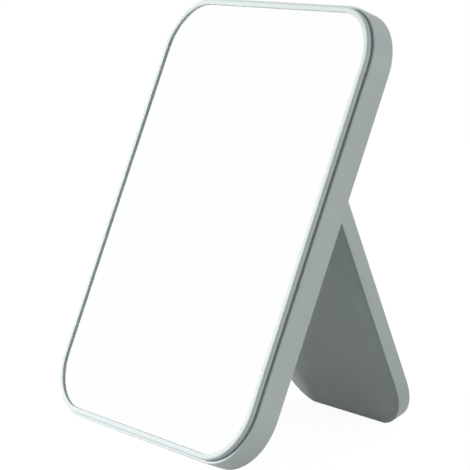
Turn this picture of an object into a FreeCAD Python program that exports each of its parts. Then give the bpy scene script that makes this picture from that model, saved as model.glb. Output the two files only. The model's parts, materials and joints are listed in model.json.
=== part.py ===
import FreeCAD, Part
import os
import re
import Sketcher

# A folding makeup mirror: a glass in a tray, closed by a rear shell, leaning on a leg hinged in its back.
# The pieces are drawn with the mirror lying on its back, X across, Y up the mirror and Z towards the
# glass, from the middle of the shell's lower back edge. The leg's pieces are drawn about their pivot.

# Driving sizes, in millimetres, with angles in degrees
SIZES = {
    # Rear shell
    "width": 152.0,
    "height": 200.0,
    "corner": 26.0,
    "wall": 2.3,
    "back_wall": 2.0,
    "rim_round": 0.5,
    "back_round": 1.2,
    "desk_cut": 0.75,
    "notch_dia": 20.0,
    "notch_depth": 0.8,
    # Mirror tray and its lip
    "lip_step": 1.3,
    "lip_width": 2.35,
    "lip_height": 2.1,
    "lip_round": 0.8,
    "lip_ease": 0.12,
    "shadow_gap": 0.65,
    "tray_floor": 1.5,
    "tray_fit": 0.1,
    "tray_clear": 0.3,
    # Glass and its tape
    "glass_thick": 2.0,
    "glass_sink": 0.9,
    "glass_gap": 0.06,
    "glass_arris": 0.12,
    "tape_thick": 0.4,
    "tape_wide": 118.0,
    "tape_tall": 14.0,
    # Leg
    "leg_width": 89.0,
    "leg_thick": 7.0,
    "leg_corner": 23.0,
    "leg_round": 0.5,
    "leg_rim": 1.3,
    "leg_ledge": 1.2,
    "leg_skin": 1.8,
    "land": 2.0,
    "cover_thick": 1.6,
    "cover_fit": 0.1,
    "cover_top": 10.0,
    "peg_dia": 3.6,
    "peg_long": 2.6,
    "peg_fit": 0.1,
    "peg_boss": 7.0,
    "peg_inset": 11.0,
    # Recess for the folded leg
    "flush": 0.1,
    "fold_gap": 0.2,
    "side_gap": 0.5,
    "run_out": 0.6,
    "mouth_rise": 2.0,
    "recess_wall": 1.6,
    "recess_floor": 1.4,
    # Hinge
    "lean": 22.0,
    "open_angle": 44.0,
    "pivot_height": 148.0,
    "barrel": 3.6,
    "heel": 4.8,
    "heel_round": 2.0,
    "heel_gap": 0.5,
    "pin_dia": 3.0,
    "pin_fit": 0.02,
    "pin_inset": 0.3,
    "pin_ease": 0.3,
    "bush_dia": 5.0,
    "bush_long": 8.0,
    "bush_fit": 0.03,
    "bush_seat": 0.02,
    "washer_dia": 6.4,
    "washer_thick": 0.4,
    "hinge_boss_long": 6.0,
    "hinge_boss_tall": 9.0,
    "hinge_boss_cover": 2.0,
    # Case screws and their plugs
    "screw_margin": 24.0,
    "screw_dia": 2.4,
    "screw_long": 5.0,
    "screw_fit": 0.1,
    "head_dia": 5.2,
    "head_tall": 1.5,
    "head_seat": 3.1,
    "head_room": 0.7,
    "drive_long": 3.0,
    "drive_wide": 0.8,
    "drive_deep": 0.8,
    "well_dia": 10.0,
    "well_top": 4.5,
    "boss_dia": 6.4,
    "pilot_extra": 0.4,
    "plug_thick": 1.3,
    "plug_fit": 0.1,
    "plug_ease": 0.3,
    # How far a cut runs past what it cuts
    "overrun": 2.0,
}
TAPE_ROW_SHARES = (0.17, 0.5, 0.83)
PEG_ROW_SHARES = (0.25, 0.78)
QUARTER_TURN = Part.Circle().LastParameter / 4
NEAR = 1e-4

# Heights above the back face
RECESS_FLOOR = "(flush + leg_thick + fold_gap)"
BLOCK_TOP = f"({RECESS_FLOOR} + recess_floor)"
TRAY_BACK = f"({BLOCK_TOP} + tray_clear)"
POCKET_FLOOR = f"({TRAY_BACK} + tray_floor)"
GLASS_BACK = f"({POCKET_FLOOR} + tape_thick)"
FRONT = f"({GLASS_BACK} + glass_thick + glass_sink)"
LIP_BACK = f"({FRONT} - lip_height)"
RIM = f"({LIP_BACK} - shadow_gap)"

# Recess, hinge and screws
RECESS_HALF = "(leg_width / 2 + side_gap)"
BLOCK_HALF = f"({RECESS_HALF} + recess_wall)"
HEEL_SWING = "(hypot(heel - heel_round; leg_thick - barrel - heel_round) + heel_round)"
RECESS_TOP = f"(pivot_height + {HEEL_SWING} + heel_gap)"
PIVOT_LEVEL = "(flush + leg_thick - barrel)"
PIN_OUTER = f"({BLOCK_HALF} + hinge_boss_long - pin_inset)"
SCREW_ACROSS = f"(({BLOCK_HALF} + width / 2 - wall) / 2)"
SCREW_ROWS = {"lower": "screw_margin", "middle": "height / 2", "upper": "(height - screw_margin)"}
SIDES = {"left": -1, "right": 1}

# Leg, from its pivot: its slope when open, its outer face, and its length to the sharp inner foot edge
TILT = "(open_angle - lean)"
LEG_OUTER = "(leg_thick - barrel)"
PIVOT_RISE = f"(pivot_height * cos(lean) + {PIVOT_LEVEL} * sin(lean))"
LEG_LENGTH = f"(({PIVOT_RISE} + (land - barrel) * sin({TILT}) - desk_cut) / cos({TILT}))"
FOOT_RIM = f"(leg_rim + land * tan({TILT}))"

doc = FreeCAD.newDocument("folding_mirror")
sheet = doc.addObject("Spreadsheet::Sheet", "Dims")
for row, (alias, size) in enumerate(SIZES.items(), 1):
    sheet.set(f"A{row}", alias)
    sheet.set(f"B{row}", str(size))
    sheet.setAlias(f"B{row}", alias)
doc.recompute()


def bound(formula):
    """The formula with each size's name pointing at its cell."""
    return re.sub(r"[a-z_]+", lambda word: f"Dims.{word[0]}" if word[0] in SIZES else word[0], formula)


def number(formula):
    """The formula's value now."""
    return float(sheet.evalExpression(bound(formula)))


def bind(thing, target, formula):
    thing.setExpression(target, bound(formula))


# Sketches
def new_body(label):
    body = doc.addObject("PartDesign::Body", label)
    body.Label = label
    return body


def new_sketch(body, name, offset="0", role="XY_Plane"):
    """A sketch on one of the body's own planes, set off along the plane's normal."""
    sketch = body.newObject("Sketcher::SketchObject", f"{body.Name}_{name}")
    plane = next(feature for feature in body.Origin.OriginFeatures if feature.Role == role)
    sketch.AttachmentSupport = [(plane, "")]
    sketch.MapMode = "FlatFace"
    bind(sketch, "AttachmentOffset.Base.z", offset)
    return sketch


def rule(sketch, kind, *places):
    return sketch.addConstraint(Sketcher.Constraint(kind, *places))


def size_rule(sketch, kind, places, formula):
    """A dimension of the sketch that follows a formula."""
    index = rule(sketch, kind, *places, number(formula))
    sketch.renameConstraint(index, f"size{index}")
    bind(sketch, f"Constraints.size{index}", formula)


def fix_point(sketch, curve, point, across, up):
    """Hold a point of a curve at its place from the sketch's origin."""
    for kind, axis, formula in (("DistanceX", -2, across), ("DistanceY", -1, up)):
        if formula == "0":
            rule(sketch, "PointOnObject", curve, point, axis)
        else:
            size_rule(sketch, kind, (-1, 1, curve, point), formula)


def round_outline(sketch, wide, tall, radius, bottom, round_top=True):
    """An upright rectangle about the sketch's vertical axis, with all or only its lower corners round."""
    half = number(wide) / 2
    low = number(bottom)
    high = low + number(tall)
    bend = number(radius)
    top_bend = bend if round_top else 0
    # Each corner's place, its radius, and the way round the outline as it comes in and goes out
    east, north, west, south = [FreeCAD.Vector(*way) for way in ((1, 0), (0, 1), (-1, 0), (0, -1))]
    corners = [(FreeCAD.Vector(half, low), bend, east, north),
               (FreeCAD.Vector(half, high), top_bend, north, west),
               (FreeCAD.Vector(-half, high), top_bend, west, south),
               (FreeCAD.Vector(-half, low), bend, south, east)]
    curves = []
    arcs = []
    lines = []
    previous = corners[-1]
    for corner in corners:
        point, turn, way_in, way_out = corner
        begin = previous[0] + previous[3] * previous[1]
        line = sketch.addGeometry(Part.LineSegment(begin, point - way_in * turn), False)
        lines.append(line)
        curves.append(line)
        if turn:
            centre = point + (way_out - way_in) * turn
            circle = Part.Circle(centre, FreeCAD.Vector(0, 0, 1), turn)
            start = circle.parameter(point - way_in * turn)
            arc = sketch.addGeometry(Part.ArcOfCircle(circle, start, start + QUARTER_TURN), False)
            arcs.append(arc)
            curves.append(arc)
        previous = corner
    for this, following in zip(curves, curves[1:] + curves[:1]):
        rule(sketch, "Tangent" if {this, following} & set(arcs) else "Coincident", this, 2, following, 1)
    base, right, top, left = lines
    for kind, line in (("Vertical", right), ("Horizontal", top), ("Vertical", left)):
        rule(sketch, kind, line)
    rule(sketch, "Symmetric", base, 1, base, 2, -2)
    for this, following in zip(arcs, arcs[1:]):
        rule(sketch, "Equal", this, following)
    size_rule(sketch, "DistanceX", (left, 1, right, 1), wide)
    size_rule(sketch, "DistanceY", (base, 1, top, 1), tall)
    size_rule(sketch, "Radius", (arcs[0],), radius)
    if bottom == "0":
        rule(sketch, "PointOnObject", base, 1, -1)
    else:
        size_rule(sketch, "DistanceY", (-1, 1, base, 1), bottom)


def profile(sketch, corners, arc_from=None, arc_radius="0"):
    """A closed outline through corners given as pairs of formulas, with one side an arc about a radius."""
    points = [FreeCAD.Vector(number(across), number(up), 0) for across, up in corners]
    curves = []
    for index, (begin, end) in enumerate(zip(points, points[1:] + points[:1])):
        if index == arc_from:
            chord = end - begin
            middle = (begin + end) / 2
            side = FreeCAD.Vector(-chord.y, chord.x, 0).normalize()
            rise = (number(arc_radius) ** 2 - (chord.Length / 2) ** 2) ** 0.5
            centre = middle - side * rise
            curves.append(Part.Arc(begin, centre + side * number(arc_radius), end))
        else:
            curves.append(Part.LineSegment(begin, end))
    curves = [sketch.addGeometry(curve, False) for curve in curves]
    order = [(curve, 1, 2) for curve in curves]
    if arc_from is not None:
        arc = curves[arc_from]
        order[arc_from] = (arc, 2, 1)
        size_rule(sketch, "Radius", (arc,), arc_radius)
    for (this, _, last), (following, first, _) in zip(order, order[1:] + order[:1]):
        rule(sketch, "Coincident", this, last, following, first)
    for (curve, first, _), (across, up) in zip(order, corners):
        fix_point(sketch, curve, first, across, up)


def circles(sketch, centres, diameter):
    for across, up in centres:
        spot = FreeCAD.Vector(number(across), number(up), 0)
        ring = sketch.addGeometry(Part.Circle(spot, FreeCAD.Vector(0, 0, 1), number(diameter) / 2), False)
        fix_point(sketch, ring, 3, across, up)
        size_rule(sketch, "Diameter", (ring,), diameter)


# Features
def grow(body, kind, sketch, length, **options):
    """A pad or pocket of a sketch. A pocket has to take something away, and a pad has to add."""
    before = body.Shape.Volume if body.Tip else 0
    feature = body.newObject(f"PartDesign::{kind}", f"{sketch.Name}_{kind.lower()}")
    feature.Profile = sketch
    bind(feature, "Length", length)
    for option, choice in options.items():
        setattr(feature, option, choice)
    doc.recompute()
    gain = body.Shape.Volume - before
    if gain * (1 if kind == "Pad" else -1) <= 0:
        raise RuntimeError(f"{feature.Name} changes nothing")
    return feature


def pad(body, sketch, length, **options):
    return grow(body, "Pad", sketch, length, **options)


def pocket(body, sketch, length, **options):
    return grow(body, "Pocket", sketch, length, **options)


def dress(body, kind, target, size, name, wanted):
    """A fillet or chamfer on the edges that the test picks."""
    base = body.Tip
    feature = body.newObject(f"PartDesign::{kind}", f"{body.Name}_{name}")
    edges = [f"Edge{i}" for i, edge in enumerate(base.Shape.Edges, 1) if wanted(edge.BoundBox)]
    feature.Base = (base, edges)
    bind(feature, target, size)
    doc.recompute()


def level(height):
    """Test for an edge that lies flat at a height."""
    place = number(height)
    return lambda box: abs(box.ZMin - place) < NEAR and abs(box.ZMax - place) < NEAR


def inset_outline(sketch, inset):
    """The shell's outline drawn in by an inset."""
    round_outline(sketch, f"width - 2 * ({inset})", f"height - 2 * ({inset})", f"corner - ({inset})", inset)


def within(inset, height):
    """Test for an edge that lies flat at a height, no further out than the outline drawn in by an inset."""
    flat = level(height)
    low = number(inset) - NEAR
    high = number("height") - low
    half = number("width") / 2 - low
    return lambda box: flat(box) and max(-box.XMin, box.XMax) < half and low < box.YMin and box.YMax < high


def screw_spots():
    return [(f"{sign} * {SCREW_ACROSS}", row) for row in SCREW_ROWS.values() for sign in SIDES.values()]


# Placing
FLAT = FreeCAD.Placement()
ACROSS = FreeCAD.Vector(1, 0, 0)
STANDING = FreeCAD.Placement(FreeCAD.Vector(0, 0, -number("desk_cut")),
                             FreeCAD.Rotation(ACROSS, number("90 - lean")))
PIVOT = FreeCAD.Vector(0, number("pivot_height"), number(PIVOT_LEVEL))
OPENED = FreeCAD.Placement(PIVOT, FreeCAD.Rotation(ACROSS, number("open_angle")))
ALONG_X = FreeCAD.Rotation(FreeCAD.Vector(0, 1, 0), number("90"))
nodes = []


def place(piece, local=FLAT, on_leg=False):
    """Stand a finished piece up, with the leg's pieces swung open."""
    piece.Placement = STANDING * (OPENED if on_leg else FLAT) * local
    nodes.append(piece)


def at(across, up, rise):
    return FreeCAD.Placement(FreeCAD.Vector(number(across), number(up), number(rise)), FreeCAD.Rotation())


# Plain turned and cut pieces
def eased_rod(label, diameter, length, ease):
    """A round bar with its ends chamfered."""
    body = new_body(label)
    section = new_sketch(body, "section")
    circles(section, [("0", "0")], diameter)
    pad(body, section, length)
    for end in ("0", length):
        dress(body, "Chamfer", "Size", ease, "end", level(end))
    return body


def rod(label, diameter, length):
    piece = doc.addObject("Part::Cylinder", label)
    piece.Label = label
    bind(piece, "Radius", f"({diameter}) / 2")
    bind(piece, "Height", length)
    return piece


def join(kind, label, base, tool):
    piece = doc.addObject(f"Part::{kind}", label)
    piece.Label = label
    piece.Base = base
    piece.Tool = tool
    return piece


def ring(label, outer, inner, length):
    return join("Cut", label, rod(f"{label}_outer", outer, length), rod(f"{label}_bore", inner, length))


# Rear shell, with the leg's recess in its back
def make_rear_shell():
    shell = new_body("rear_shell")
    outline = new_sketch(shell, "outline")
    inset_outline(outline, "0")
    pad(shell, outline, RIM)
    dress(shell, "Fillet", "Radius", "rim_round", "rim", level(RIM))
    dress(shell, "Fillet", "Radius", "back_round", "back", level("0"))

    cavity = new_sketch(shell, "cavity", RIM)
    inset_outline(cavity, "wall")
    pocket(shell, cavity, f"{RIM} - back_wall")

    block = new_sketch(shell, "block", "back_wall")
    block_top = f"{RECESS_TOP} + recess_wall"
    profile(block, [(f"-{BLOCK_HALF}", "wall / 2"), (BLOCK_HALF, "wall / 2"),
                    (BLOCK_HALF, block_top), (f"-{BLOCK_HALF}", block_top)])
    pad(shell, block, f"{BLOCK_TOP} - back_wall")

    for side, sign in SIDES.items():
        boss = new_sketch(shell, f"boss_{side}", "back_wall")
        inner = f"{sign} * ({BLOCK_HALF} - recess_wall / 2)"
        outer = f"{sign} * ({BLOCK_HALF} + hinge_boss_long)"
        low = "pivot_height - hinge_boss_tall / 2"
        high = "pivot_height + hinge_boss_tall / 2"
        profile(boss, [(inner, low), (outer, low), (outer, high), (inner, high)])
        pad(shell, boss, f"{PIVOT_LEVEL} + pin_dia / 2 + hinge_boss_cover - back_wall")

    wells = new_sketch(shell, "wells", "back_wall")
    circles(wells, screw_spots(), "well_dia")
    pad(shell, wells, "well_top - back_wall")

    recess = new_sketch(shell, "recess")
    bend = "(leg_corner + side_gap)"
    round_outline(recess, f"2 * {RECESS_HALF}", f"{RECESS_TOP} + run_out", bend, "-run_out", False)
    pocket(shell, recess, RECESS_FLOOR, Reversed=True)

    # The recess leaves through the bottom wall, cut square where its round corners would end in thin tips
    mouth = new_sketch(shell, "mouth")
    mouth_half = f"(leg_width / 2 - leg_corner + sqrt({bend}^2 - ({bend} - run_out - mouth_rise)^2))"
    profile(mouth, [(f"-{mouth_half}", "-overrun"), (mouth_half, "-overrun"),
                    (mouth_half, "mouth_rise"), (f"-{mouth_half}", "mouth_rise")])
    pocket(shell, mouth, RECESS_FLOOR, Reversed=True)

    # A nail notch under the folded foot
    notch = new_sketch(shell, "notch", RECESS_FLOOR)
    circles(notch, [("0", "0")], "notch_dia")
    pocket(shell, notch, "notch_depth", Reversed=True)

    heads = new_sketch(shell, "heads")
    circles(heads, screw_spots(), "head_dia + 2 * head_room")
    pocket(shell, heads, "head_seat", Reversed=True)
    shanks = new_sketch(shell, "shanks")
    circles(shanks, screw_spots(), "screw_dia + 2 * screw_fit")
    pocket(shell, shanks, "well_top", Reversed=True)

    hinge = new_sketch(shell, "hinge", role="YZ_Plane")
    circles(hinge, [("pivot_height", PIVOT_LEVEL)], "pin_dia + 2 * pin_fit")
    pocket(shell, hinge, f"2 * ({BLOCK_HALF} + hinge_boss_long + overrun)", Midplane=True)

    # The level land that the lower back edge stands on
    desk = new_sketch(shell, "desk", role="YZ_Plane")
    profile(desk, [("-overrun", "-overrun"), ("(desk_cut + overrun * sin(lean)) / cos(lean)", "-overrun"),
                   ("-overrun", "(desk_cut + overrun * cos(lean)) / sin(lean)")])
    pocket(shell, desk, "width + overrun", Midplane=True)
    place(shell)


# Mirror tray, whose lip stands clear of the shell's rim by the shadow gap
def make_mirror_tray():
    tray = new_body("mirror_tray")
    lip = new_sketch(tray, "lip", LIP_BACK)
    inset_outline(lip, "lip_step")
    pad(tray, lip, "lip_height")
    dress(tray, "Fillet", "Radius", "lip_round", "edge", level(FRONT))
    spigot = new_sketch(tray, "spigot", TRAY_BACK)
    inset_outline(spigot, "wall + tray_fit")
    pad(tray, spigot, f"{LIP_BACK} - {TRAY_BACK}")
    seat = new_sketch(tray, "seat", FRONT)
    inset_outline(seat, "lip_step + lip_width")
    pocket(tray, seat, f"{FRONT} - {POCKET_FLOOR}")
    dress(tray, "Fillet", "Radius", "lip_ease", "inner", within("lip_step + lip_width", FRONT))
    bosses = new_sketch(tray, "bosses", TRAY_BACK)
    circles(bosses, screw_spots(), "boss_dia")
    pad(tray, bosses, f"{TRAY_BACK} - well_top", Reversed=True)
    pilots = new_sketch(tray, "pilots", "well_top")
    circles(pilots, screw_spots(), "screw_dia + 2 * screw_fit")
    pocket(tray, pilots, "screw_long - (well_top - head_seat) + pilot_extra", Reversed=True)
    place(tray)


def make_mirror_glass():
    glass = new_body("mirror_glass")
    outline = new_sketch(glass, "outline", GLASS_BACK)
    inset_outline(outline, "lip_step + lip_width + glass_gap")
    pad(glass, outline, "glass_thick")
    dress(glass, "Chamfer", "Size", "glass_arris", "arris", level(f"{GLASS_BACK} + glass_thick"))
    place(glass)


def make_mirror_tapes():
    for name, share in zip(("lower", "middle", "upper"), TAPE_ROW_SHARES):
        tape = doc.addObject("Part::Box", f"mirror_tape_{name}")
        tape.Label = f"mirror_tape_{name}"
        bind(tape, "Length", "tape_wide")
        bind(tape, "Width", "tape_tall")
        bind(tape, "Height", "tape_thick")
        place(tape, at("-tape_wide / 2", f"height * {share} - tape_tall / 2", POCKET_FLOOR))


# Case screws driven from the back by a cross recess, each under a plug
def drive_bar(label, across, up):
    """One bar of the cross recess, cut into the outer end of the head."""
    bar = doc.addObject("Part::Box", label)
    bind(bar, "Length", across)
    bind(bar, "Width", up)
    bind(bar, "Height", "drive_deep + overrun")
    bar.Placement = at(f"-{across} / 2", f"-{up} / 2", "-overrun")
    return bar


def make_case_screws():
    screws = []
    for index, (across, up) in enumerate(screw_spots()):
        head = rod(f"screw_head_{index}", "head_dia", "head_tall")
        shank = rod(f"screw_shank_{index}", "screw_dia", "head_tall + screw_long")
        flat = drive_bar(f"drive_flat_{index}", "drive_long", "drive_wide")
        upright = drive_bar(f"drive_upright_{index}", "drive_wide", "drive_long")
        blank = join("Fuse", f"screw_blank_{index}", head, shank)
        screw = join("Cut", f"screw_{index}", blank, join("Fuse", f"screw_drive_{index}", flat, upright))
        screw.Placement = at(across, up, "head_seat - head_tall")
        screws.append(screw)
    group = doc.addObject("Part::Compound", "case_screws")
    group.Label = "case_screws"
    group.Links = screws
    place(group)


def make_screw_plugs():
    plug_dia = "head_dia + 2 * head_room - 2 * plug_fit"
    for row, up in SCREW_ROWS.items():
        for side, sign in SIDES.items():
            plug = eased_rod(f"screw_plug_{row}_{side}", plug_dia, "plug_thick", "plug_ease")
            place(plug, at(f"{sign} * {SCREW_ACROSS}", up, "flush"))


# Hinge pins pressed into the shell, with a spring washer on each between shell and leg
def make_hinge():
    pin_inner = "(leg_width / 2 - bush_long + pin_inset)"
    for side, sign in SIDES.items():
        pin = eased_rod(f"hinge_pin_{side}", "pin_dia", f"{PIN_OUTER} - {pin_inner}", "pin_ease")
        start = pin_inner if sign > 0 else f"-{PIN_OUTER}"
        turned(pin, start)
        washer = ring(f"friction_washer_{side}", "washer_dia", "pin_dia + 2 * bush_fit", "washer_thick")
        turned(washer, f"{sign} * (leg_width / 2 + side_gap / 2) - washer_thick / 2")
        bush = ring(f"leg_bush_{side}", "bush_dia", "pin_dia + 2 * bush_fit", "bush_long")
        bush_start = number("leg_width / 2 - bush_long" if sign > 0 else "-leg_width / 2")
        place(bush, FreeCAD.Placement(ACROSS * bush_start, ALONG_X), on_leg=True)


def turned(piece, start):
    """Lay a round piece along the hinge line, from a place across the mirror."""
    place(piece, FreeCAD.Placement(PIVOT + ACROSS * number(start), ALONG_X))


def leg_outline(sketch, inset, foot_inset, top):
    """The leg's outline drawn in from its sides and foot, up to a height from the pivot."""
    round_outline(sketch, f"leg_width - 2 * ({inset})", f"{LEG_LENGTH} - ({foot_inset}) + ({top})",
                  f"leg_corner - ({inset})", f"{foot_inset} - {LEG_LENGTH}", False)


def peg_spots():
    return [(f"{sign} * (leg_width / 2 - peg_inset)", f"-{share} * {LEG_LENGTH}")
            for share in PEG_ROW_SHARES for sign in SIDES.values()]


# Leg shell, with its heel, its foot and the hollow under its cover
def make_leg_shell():
    leg = new_body("leg_shell")
    outline = new_sketch(leg, "outline", f"-{LEG_OUTER}")
    leg_outline(outline, "0", "0", "heel")
    pad(leg, outline, "leg_thick")
    end = number("heel")
    for face in (f"-{LEG_OUTER}", "barrel"):
        flat = level(face)
        dress(leg, "Fillet", "Radius", "leg_round", "edge", lambda box: flat(box) and box.YMin < end - NEAR)

    heel = new_sketch(leg, "heel", role="YZ_Plane")
    past = "(heel + overrun)"
    profile(heel, [("0", "barrel"), ("barrel * sin(open_angle)", "barrel * cos(open_angle)"),
                   (past, f"(barrel - {past} * sin(open_angle)) / cos(open_angle)"),
                   (past, "barrel + overrun"), ("0", "barrel + overrun")], 0, "barrel")
    pocket(leg, heel, "leg_width + overrun", Midplane=True)
    end_round = new_sketch(leg, "end_round", role="YZ_Plane")
    profile(end_round, [("heel", f"heel_round - {LEG_OUTER}"), ("heel - heel_round", f"-{LEG_OUTER}"),
                        ("heel - heel_round", f"-{LEG_OUTER} - overrun"), (past, f"-{LEG_OUTER} - overrun"),
                        (past, f"heel_round - {LEG_OUTER}")], 0, "heel_round")
    pocket(leg, end_round, "leg_width + overrun", Midplane=True)

    # The level land that the foot stands on
    foot = new_sketch(leg, "foot", role="YZ_Plane")
    below = f"(-{LEG_LENGTH} - overrun)"
    profile(foot, [(below, f"barrel - land - overrun / tan({TILT})"),
                   (f"(land + overrun) * tan({TILT}) - {LEG_LENGTH}", "barrel + overrun"),
                   (below, "barrel + overrun")])
    pocket(leg, foot, "leg_width + overrun", Midplane=True)

    seat = new_sketch(leg, "seat", "barrel")
    leg_outline(seat, "leg_rim", FOOT_RIM, "-cover_top")
    pocket(leg, seat, "cover_thick")
    hollow = new_sketch(leg, "hollow", "barrel - cover_thick")
    leg_outline(hollow, "leg_rim + leg_ledge", f"{FOOT_RIM} + leg_ledge", "-cover_top - leg_ledge")
    pocket(leg, hollow, "leg_thick - cover_thick - leg_skin")
    bosses = new_sketch(leg, "bosses", f"leg_skin - {LEG_OUTER}")
    circles(bosses, peg_spots(), "peg_boss")
    pad(leg, bosses, "leg_thick - cover_thick - leg_skin")
    sockets = new_sketch(leg, "sockets", "barrel - cover_thick")
    circles(sockets, peg_spots(), "peg_dia + 2 * peg_fit")
    pocket(leg, sockets, "peg_long + peg_fit")
    for side, sign in SIDES.items():
        bore = new_sketch(leg, f"bore_{side}", f"{sign} * leg_width / 2", "YZ_Plane")
        circles(bore, [("0", "0")], "bush_dia + 2 * bush_seat")
        pocket(leg, bore, "bush_long", Reversed=sign < 0)
    place(leg, on_leg=True)


def make_leg_cover():
    cover = new_body("leg_cover")
    plate = new_sketch(cover, "plate", "barrel - cover_thick")
    leg_outline(plate, "leg_rim + cover_fit", f"{FOOT_RIM} + cover_fit", "-cover_top - cover_fit")
    pad(cover, plate, "cover_thick")
    pegs = new_sketch(cover, "pegs", "barrel - cover_thick")
    circles(pegs, peg_spots(), "peg_dia")
    pad(cover, pegs, "peg_long", Reversed=True)
    place(cover, on_leg=True)


def centre_on_floor():
    """Move the whole mirror so that its box stands centred on the origin."""
    doc.recompute()
    box = Part.makeCompound([node.Shape for node in nodes]).optimalBoundingBox(False)
    shift = FreeCAD.Vector(-(box.XMin + box.XMax) / 2, -(box.YMin + box.YMax) / 2, 0)
    for node in nodes:
        node.Placement.Base = node.Placement.Base + shift
    doc.recompute()
    return shift


def main():
    make_rear_shell()
    make_mirror_tray()
    make_mirror_glass()
    make_mirror_tapes()
    make_case_screws()
    make_screw_plugs()
    make_hinge()
    make_leg_shell()
    make_leg_cover()
    shift = centre_on_floor()
    for thing in doc.Objects:
        if {"Invalid", "Error"} & set(thing.State):
            raise RuntimeError(f"{thing.Name} failed")
    for node in nodes:
        if node.Shape.isNull() or not node.Shape.isValid():
            raise RuntimeError(f"{node.Label} has no sound shape")
    os.makedirs("parts", exist_ok=True)
    for node in nodes:
        node.Shape.exportStep(f"parts/{node.Label}.step")
    hinge = STANDING.multVec(PIVOT) + shift
    print("hinge line at y", round(hinge.y, 4), "z", round(hinge.z, 4))
    print("leg length", round(number(LEG_LENGTH), 3), "depth of the mirror", round(number(FRONT), 3))


main()
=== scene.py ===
import json
import math
import bpy
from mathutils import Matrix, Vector

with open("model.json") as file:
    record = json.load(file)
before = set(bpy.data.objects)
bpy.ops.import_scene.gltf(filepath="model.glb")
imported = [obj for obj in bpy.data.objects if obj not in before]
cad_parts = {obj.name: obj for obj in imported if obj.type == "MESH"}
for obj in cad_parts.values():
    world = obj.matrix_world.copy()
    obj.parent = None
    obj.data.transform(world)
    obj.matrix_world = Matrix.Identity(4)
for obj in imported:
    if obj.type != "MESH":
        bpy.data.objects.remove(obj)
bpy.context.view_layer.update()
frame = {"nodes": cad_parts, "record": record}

nodes = frame["nodes"]

# View, as it was measured from the outline: degrees, metres, and pixels of a square image
AZIMUTH = 55.3
ELEVATION = 8.48
DISTANCE = 0.9134
TARGET = Vector((0.01949, -0.02220, 0.09128))
FOCAL_PIXELS = 2140.0
IMAGE_PIXELS = 470.0
SENSOR_MM = 36.0

# Light: a soft box at the front left, a broad light at the back right and a cool room paler on that side
ROOM_DARK = 0.03
ROOM_PALE = 0.42
ROOM_WAY = (0.58, 0.77, 0.26)
ROOM_TINT = (0.94, 1.0, 1.0, 1.0)
KEY_WATTS = 5.28
KEY_WIDE = 0.25
KEY_SPREAD = 120.0
KEY_PLACE = Vector((-0.46, -0.96, 0.38))
KEY_AIM = Vector((0.0, -0.02, 0.09))
FILL_STRENGTH = 1.28
FILL_ANGLE = 40.0
FILL_FROM = Vector((0.86, 0.50, 0.04))

# Floor: how pale it is to the light it gathers, and how much of its light and of plain white the eye sees
FLOOR_SIZE = 14.0
FLOOR_COLOUR = (0.56, 0.56, 0.56, 1.0)
FLOOR_SEEN = (0.25, 0.25, 0.25, 1.0)
FLOOR_GLOW = 0.93

# Plain values of the shaders, and the reach of a cosine, a share and the middle of a noise
WHITE = (1.0, 1.0, 1.0, 1.0)
FULL = 1.0
ONE_BOUNCE = 1.0
COSINES = (-1.0, 1.0)
SHARES = (0.0, 1.0)
NOISE_MIDDLE = (0.3, 0.7)
COARSE_DETAIL = 2.0
FINE_DETAIL = 3.0
SMUDGE_DETAIL = 4.0

# Moulded plastic: grain, clouds, gloss patches and relief in metres
PLASTIC_GREY = (0.61, 0.67, 0.668, 1.0)
PLASTIC_GRAIN = 0.00035
PLASTIC_CLOUD = 0.03
PLASTIC_PATCH = 0.012
PLASTIC_RELIEF = 0.000008
PLASTIC_BUMP = 0.35
GRAIN_SHADES = (0.985, 1.015)
CLOUD_SHADES = (0.99, 1.01)
PLASTIC_ROUGHNESS = (0.44, 0.54)

# Silvered glass: its lean in degrees, how nearly a polished surface faces that way, and smudges in metres
GLASS_LEAN = 22.0
GLASS_NORMAL = (0.0, -math.cos(math.radians(GLASS_LEAN)), math.sin(math.radians(GLASS_LEAN)))
POLISHED_FACING = 0.99
SILVER = (0.985, 0.99, 0.988, 1.0)
SMUDGE = 0.02
SMUDGE_ROUGHNESS = (0.004, 0.014)
GROUND_GLASS = (0.72, 0.74, 0.735, 1.0)
GROUND_ROUGHNESS = 0.45

# Steel: turning lines and relief in metres
STEEL = (0.60, 0.60, 0.61, 1.0)
TURNING_LINE = 0.0004
TURNING_STRETCH = (0.05, 1.0, 1.0)
TURNING_RELIEF = 0.00001
TURNING_BUMP = 0.3
TURNING_SHADES = (0.9, 1.08)
STEEL_ROUGHNESS = (0.22, 0.38)

# Soft finishes: grain in metres, roughness, and relief as a share of the grain
ACETAL = (0.82, 0.82, 0.79, 1.0)
ACETAL_GRAIN = 0.0006
ACETAL_ROUGHNESS = 0.35
FOAM = (0.78, 0.78, 0.76, 1.0)
FOAM_GRAIN = 0.0008
FOAM_ROUGHNESS = 0.8
RUBBER_GREY = (0.50, 0.54, 0.54, 1.0)
RUBBER_GRAIN = 0.0004
RUBBER_ROUGHNESS = 0.65
SOFT_SHADES = (0.96, 1.04)
SOFT_UNEVENNESS = 0.06
SOFT_RELIEF = 0.1
SOFT_BUMP = 0.4


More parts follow.
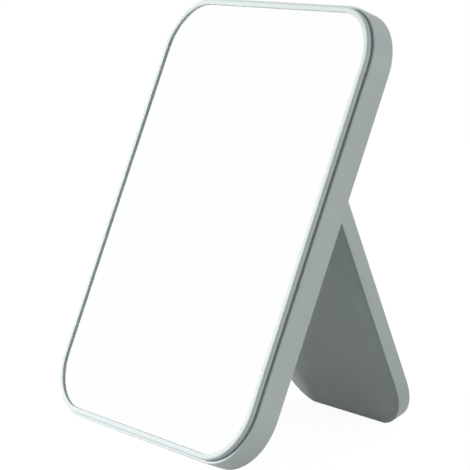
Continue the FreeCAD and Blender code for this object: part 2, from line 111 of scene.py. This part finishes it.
class NodeTree:
    """Short ways to add nodes to a tree and join them."""

    def __init__(self, tree):
        self.tree = tree

    def link(self, start, end):
        self.tree.links.new(start, end)

    def node(self, kind, inputs=None, **settings):
        """A new node, whose inputs are outputs of other nodes or plain values."""
        made = self.tree.nodes.new(kind)
        for key, value in settings.items():
            setattr(made, key, value)
        for key, value in (inputs or {}).items():
            if isinstance(value, bpy.types.NodeSocket):
                self.link(value, made.inputs[key])
            else:
                made.inputs[key].default_value = value
        return made

    def combine(self, operation, first, second):
        made = self.node("ShaderNodeMath", {0: first, 1: second}, operation=operation)
        return made.outputs["Value"]

    def facing(self, way, aim):
        """The cosine of the angle between two directions."""
        made = self.node("ShaderNodeVectorMath", {0: way, 1: aim}, operation="DOT_PRODUCT")
        return made.outputs["Value"]

    def blend(self, share, first, second, **settings):
        """One colour or number that gives way to another as a share goes from zero to one."""
        made = self.node("ShaderNodeMix", {"Factor": share, "A": first, "B": second}, **settings)
        return made.outputs["Result"]

    def carry(self, value, reach, onto):
        """A value carried from one range onto another and held at its ends."""
        low, high = reach
        start, end = onto
        inputs = {"Value": value, "From Min": low, "From Max": high, "To Min": start, "To Max": end}
        return self.node("ShaderNodeMapRange", inputs).outputs["Result"]

    def seen_directly(self):
        """One where the eye sees a thing straight, mirrored or through glass, zero where light is gathered."""
        path = self.node("ShaderNodeLightPath").outputs
        seen = self.combine("MAXIMUM", path["Is Camera Ray"], path["Is Glossy Ray"])
        seen = self.combine("MAXIMUM", seen, path["Is Transmission Ray"])
        straight = self.combine("LESS_THAN", path["Diffuse Depth"], ONE_BOUNCE)
        return self.combine("MULTIPLY", seen, straight)


class Finish(NodeTree):
    """A new material with a Principled shader, whose textures lie in object coordinates."""

    def __init__(self, name):
        self.material = bpy.data.materials.new(name)
        self.material.use_nodes = True
        super().__init__(self.material.node_tree)
        self.tree.nodes.clear()
        self.surface = self.node("ShaderNodeBsdfPrincipled")
        self.node("ShaderNodeOutputMaterial", {"Surface": self.surface.outputs["BSDF"]})
        self.place = self.node("ShaderNodeTexCoord").outputs

    def feed(self, name, value):
        self.link(value, self.surface.inputs[name])

    def noise(self, grain, detail, stretch=None):
        """Noise whose features are about one grain wide, in metres."""
        where = self.place["Object"]
        if stretch:
            where = self.node("ShaderNodeMapping", {"Vector": where, "Scale": stretch}).outputs["Vector"]
        made = self.node("ShaderNodeTexNoise", {"Vector": where, "Scale": 1 / grain, "Detail": detail})
        return made.outputs["Fac"]

    def vary(self, noise, limits):
        """A value that runs between two limits over the middle of a noise."""
        return self.carry(noise, NOISE_MIDDLE, limits)

    def tint(self, colour, shade):
        """A colour made darker and lighter by a value."""
        grey = self.node("ShaderNodeCombineColor", {"Red": shade, "Green": shade, "Blue": shade})
        return self.blend(FULL, colour, grey.outputs["Color"], data_type="RGBA", blend_type="MULTIPLY")

    def bump(self, height, depth, strength):
        """Small relief of a depth in metres."""
        made = self.node("ShaderNodeBump", {"Height": height, "Distance": depth, "Strength": strength})
        self.feed("Normal", made.outputs["Normal"])


def moulded_plastic():
    """Cool grey moulding with a fine spark-eroded grain and a little unevenness of gloss."""
    made = Finish("moulded_plastic")
    grain = made.noise(PLASTIC_GRAIN, FINE_DETAIL)
    cloud = made.noise(PLASTIC_CLOUD, COARSE_DETAIL)
    patch = made.noise(PLASTIC_PATCH, COARSE_DETAIL)
    shade = made.combine("MULTIPLY", made.vary(grain, GRAIN_SHADES), made.vary(cloud, CLOUD_SHADES))
    made.feed("Base Color", made.tint(PLASTIC_GREY, shade))
    made.feed("Roughness", made.vary(patch, PLASTIC_ROUGHNESS))
    made.bump(grain, PLASTIC_RELIEF, PLASTIC_BUMP)
    return made.material


def silvered_glass():
    """Polished mirror with a ground arris and edge, told apart by the way the surface faces."""
    made = Finish("silvered_glass")
    facing = made.facing(made.place["Normal"], GLASS_NORMAL)
    polished = made.combine("GREATER_THAN", facing, POLISHED_FACING)
    smudge = made.vary(made.noise(SMUDGE, SMUDGE_DETAIL), SMUDGE_ROUGHNESS)
    made.feed("Base Color", made.blend(polished, GROUND_GLASS, SILVER, data_type="RGBA"))
    made.feed("Roughness", made.blend(polished, GROUND_ROUGHNESS, smudge, data_type="FLOAT"))
    made.feed("Metallic", polished)
    return made.material


def bright_steel():
    """Zinc-plated steel with fine turning lines along its length."""
    made = Finish("bright_steel")
    lines = made.noise(TURNING_LINE, FINE_DETAIL, TURNING_STRETCH)
    made.feed("Base Color", made.tint(STEEL, made.vary(lines, TURNING_SHADES)))
    made.feed("Roughness", made.vary(lines, STEEL_ROUGHNESS))
    made.surface.inputs["Metallic"].default_value = FULL
    made.bump(lines, TURNING_RELIEF, TURNING_BUMP)
    return made.material


def soft_finish(name, colour, grain, roughness):
    """A matte or waxy finish with a grain of its own."""
    made = Finish(name)
    speck = made.noise(grain, FINE_DETAIL)
    made.feed("Base Color", made.tint(colour, made.vary(speck, SOFT_SHADES)))
    made.feed("Roughness", made.vary(speck, (roughness - SOFT_UNEVENNESS, roughness + SOFT_UNEVENNESS)))
    made.bump(speck, grain * SOFT_RELIEF, SOFT_BUMP)
    return made.material


def dress():
    """Give every piece the finish of its material slot."""
    finishes = {
        "body_plastic": moulded_plastic(),
        "silvered_glass": silvered_glass(),
        "steel": bright_steel(),
        "acetal": soft_finish("turned_acetal", ACETAL, ACETAL_GRAIN, ACETAL_ROUGHNESS),
        "foam_tape": soft_finish("foam_tape", FOAM, FOAM_GRAIN, FOAM_ROUGHNESS),
        "plug_rubber": soft_finish("plug_rubber", RUBBER_GREY, RUBBER_GRAIN, RUBBER_ROUGHNESS),
    }
    for part in frame["record"]["subparts"]:
        piece = nodes[part["node"]]
        piece.data.materials.clear()
        piece.data.materials.append(finishes[part["material_slot"]])


def make_world():
    """White to the eye and in reflections, with a lower level of light all round."""
    world = bpy.data.worlds.new("studio")
    bpy.context.scene.world = world
    world.use_nodes = True
    made = NodeTree(world.node_tree)
    way = made.node("ShaderNodeTexCoord").outputs["Generated"]
    room = made.carry(made.facing(way, ROOM_WAY), COSINES, (ROOM_DARK, ROOM_PALE))
    seen = made.seen_directly()
    background = world.node_tree.nodes["Background"]
    made.link(made.blend(seen, ROOM_TINT, WHITE, data_type="RGBA"), background.inputs["Color"])
    made.link(made.carry(seen, SHARES, (room, FULL)), background.inputs["Strength"])


def make_floor():
    """Pale floor, nearly white to the eye by itself, on which the lamps' light leaves a soft shadow."""
    bpy.ops.mesh.primitive_plane_add(size=FLOOR_SIZE)
    floor = bpy.context.object
    floor.name = "floor"
    material = bpy.data.materials.new("pale_floor")
    floor.data.materials.append(material)
    material.use_nodes = True
    material.node_tree.nodes.clear()
    made = NodeTree(material.node_tree)
    seen = made.seen_directly()
    colour = made.blend(seen, FLOOR_COLOUR, FLOOR_SEEN, data_type="RGBA")
    matte = made.node("ShaderNodeBsdfDiffuse", {"Color": colour})
    glow = made.node("ShaderNodeEmission", {"Strength": made.combine("MULTIPLY", seen, FLOOR_GLOW)})
    both = made.node("ShaderNodeAddShader", {0: matte.outputs["BSDF"], 1: glow.outputs["Emission"]})
    made.node("ShaderNodeOutputMaterial", {"Surface": both.outputs["Shader"]})


def add_lamp(lamp, place, from_way):
    """Stand a lamp at a place, shining from the way given."""
    holder = bpy.data.objects.new(lamp.name, lamp)
    bpy.context.scene.collection.objects.link(holder)
    holder.location = place
    holder.rotation_mode = "QUATERNION"
    holder.rotation_quaternion = from_way.to_track_quat("Z", "Y")


def make_lamps():
    """The soft box in front and the broad light behind."""
    key = bpy.data.lights.new("key", "AREA")
    key.energy = KEY_WATTS
    key.size = KEY_WIDE
    key.spread = math.radians(KEY_SPREAD)
    add_lamp(key, KEY_PLACE, KEY_PLACE - KEY_AIM)
    fill = bpy.data.lights.new("fill", "SUN")
    fill.energy = FILL_STRENGTH
    fill.angle = math.radians(FILL_ANGLE)
    add_lamp(fill, FILL_FROM, FILL_FROM)


def make_camera():
    """A camera that looks at the target from the measured side and height."""
    azimuth = math.radians(AZIMUTH)
    elevation = math.radians(ELEVATION)
    across = math.sin(azimuth) * math.cos(elevation)
    along = -math.cos(azimuth) * math.cos(elevation)
    back = Vector((across, along, math.sin(elevation)))
    data = bpy.data.cameras.new("view")
    data.sensor_width = SENSOR_MM
    data.lens = FOCAL_PIXELS / IMAGE_PIXELS * SENSOR_MM
    camera = bpy.data.objects.new("view", data)
    bpy.context.scene.collection.objects.link(camera)
    camera.location = TARGET + back * DISTANCE
    camera.rotation_mode = "QUATERNION"
    camera.rotation_quaternion = back.to_track_quat("Z", "Y")
    bpy.context.scene.camera = camera


bpy.context.scene.view_settings.view_transform = "Standard"
dress()
make_world()
make_floor()
make_lamps()
make_camera()
